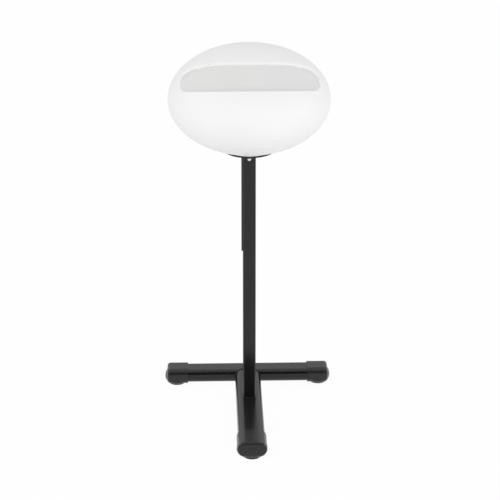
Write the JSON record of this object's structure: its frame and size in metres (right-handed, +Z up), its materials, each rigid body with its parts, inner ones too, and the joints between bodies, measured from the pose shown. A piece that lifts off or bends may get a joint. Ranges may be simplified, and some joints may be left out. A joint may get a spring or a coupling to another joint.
{
  "type": "hood hair dryer",
  "caption": "Floor-standing salon hood dryer: domed hood with hand recess, mouth and perforated bowl, on a square telescopic post with a T-shaped flat-oval base.",
  "frame": {"origin": "middle of the footprint on the floor, under the underside of the glides", "axes": "+Z up, +Y towards the client where the hood's mouth faces, +X completes the right-hand frame and carries the control panel"},
  "size_m": [0.518, 0.5915, 1.1535],
  "materials": {
    "gloss_black_paint": "gloss",
    "black_moulding": "satin",
    "rubber_black": "matte",
    "zinc_steel": "satin",
    "polished_steel": "polished",
    "white_moulding": "semi-gloss",
    "grey_moulding": "satin",
    "dark_moulding": "matte",
    "nylon_white": "satin",
    "bowl_aluminium": "satin",
    "mica_board": "matte",
    "heater_wire": "matte",
    "brass": "satin",
    "foam": "matte",
    "lead_sheath": "satin"
  },
  "bodies": {
    "stand": {"stem_tube": "gloss_black_paint", "cross_tube": "gloss_black_paint", "post_tube": "gloss_black_paint", "post_weld": "gloss_black_paint", "cross_weld": "gloss_black_paint", "cap_front": "black_moulding", "cap_left": "black_moulding", "cap_right": "black_moulding", "glide_front": "rubber_black", "glide_left": "rubber_black", "glide_right": "rubber_black", "guide_bush": "dark_moulding", "slot_cover": "gloss_black_paint", "lock_insert": "zinc_steel", "lock_pad": "brass", "inlet_body": "black_moulding", "inlet_pins": "brass", "post_lead": "lead_sheath"},
    "lock": {"lock_screw": "polished_steel"},
    "mast": {"mast_tube": "gloss_black_paint", "mast_shoe": "dark_moulding", "mast_plate": "gloss_black_paint", "guide_pin": "zinc_steel", "swivel_spindle": "zinc_steel", "stop_pin": "zinc_steel", "retaining_nut": "zinc_steel", "mast_lead": "lead_sheath", "thrust_washer": "nylon_white", "friction_washer": "zinc_steel"},
    "hood": {"hood_shell": "white_moulding", "swivel_bush": "dark_moulding", "turntable_plate": "zinc_steel", "turntable_screws": "zinc_steel", "mouth_ring": "white_moulding", "mouth_screws": "zinc_steel", "inner_bowl": "bowl_aluminium", "bulkhead": "grey_moulding", "fan_housing": "dark_moulding", "fan_motor": "zinc_steel", "motor_bracket": "zinc_steel", "heater_frame": "mica_board", "heater_coils": "heater_wire", "thermostat": "dark_moulding", "thermal_fuse": "zinc_steel", "terminal_block": "nylon_white", "lead_grommet": "rubber_black", "hood_lead": "lead_sheath", "intake_filter": "foam", "control_panel": "grey_moulding", "panel_screws": "zinc_steel", "timer_body": "dark_moulding", "heat_switch": "dark_moulding", "rocker_frame": "black_moulding"},
    "fan": {"impeller": "grey_moulding", "fan_shaft": "zinc_steel"},
    "timer": {"timer_knob": "black_moulding"},
    "heat": {"heat_knob": "black_moulding"},
    "rocker": {"power_rocker": "black_moulding"}
  },
  "joints": [
    {"name": "mast_height", "type": "slide", "parent": "stand", "child": "mast", "axis": [0, 0, 1], "range_m": [0, 0.24], "deforming": ["post_lead"]},
    {"name": "hood_swivel", "type": "hinge", "parent": "mast", "child": "hood", "pos_m": [0, 0.03925, 0.9985], "axis": [0, 0, 1], "range_deg": [-90, 90]},
    {"name": "lock_turn", "type": "hinge", "parent": "stand", "child": "lock", "pos_m": [0, 0.02025, 0.82], "axis": [0, -1, 0], "range_deg": [0, 360]},
    {"name": "fan_spin", "type": "hinge", "parent": "hood", "child": "fan", "pos_m": [0, -0.08874, 0.9685], "axis": [0, 0, 1], "continuous": true},
    {"name": "timer_turn", "type": "hinge", "parent": "hood", "child": "timer", "pos_m": [0.17619, 0.18472, 0.9985], "axis": [0.848, 0.5299, 0], "range_deg": [-300, 0]},
    {"name": "heat_turn", "type": "hinge", "parent": "hood", "child": "heat", "pos_m": [0.19738, 0.1508, 0.9985], "axis": [0.848, 0.5299, 0], "range_deg": [-120, 0]},
    {"name": "power_rock", "type": "hinge", "parent": "hood", "child": "rocker", "pos_m": [0.21222, 0.12233, 0.9985], "axis": [0.5299, -0.848, 0], "range_deg": [-18, 0]}
  ]
}
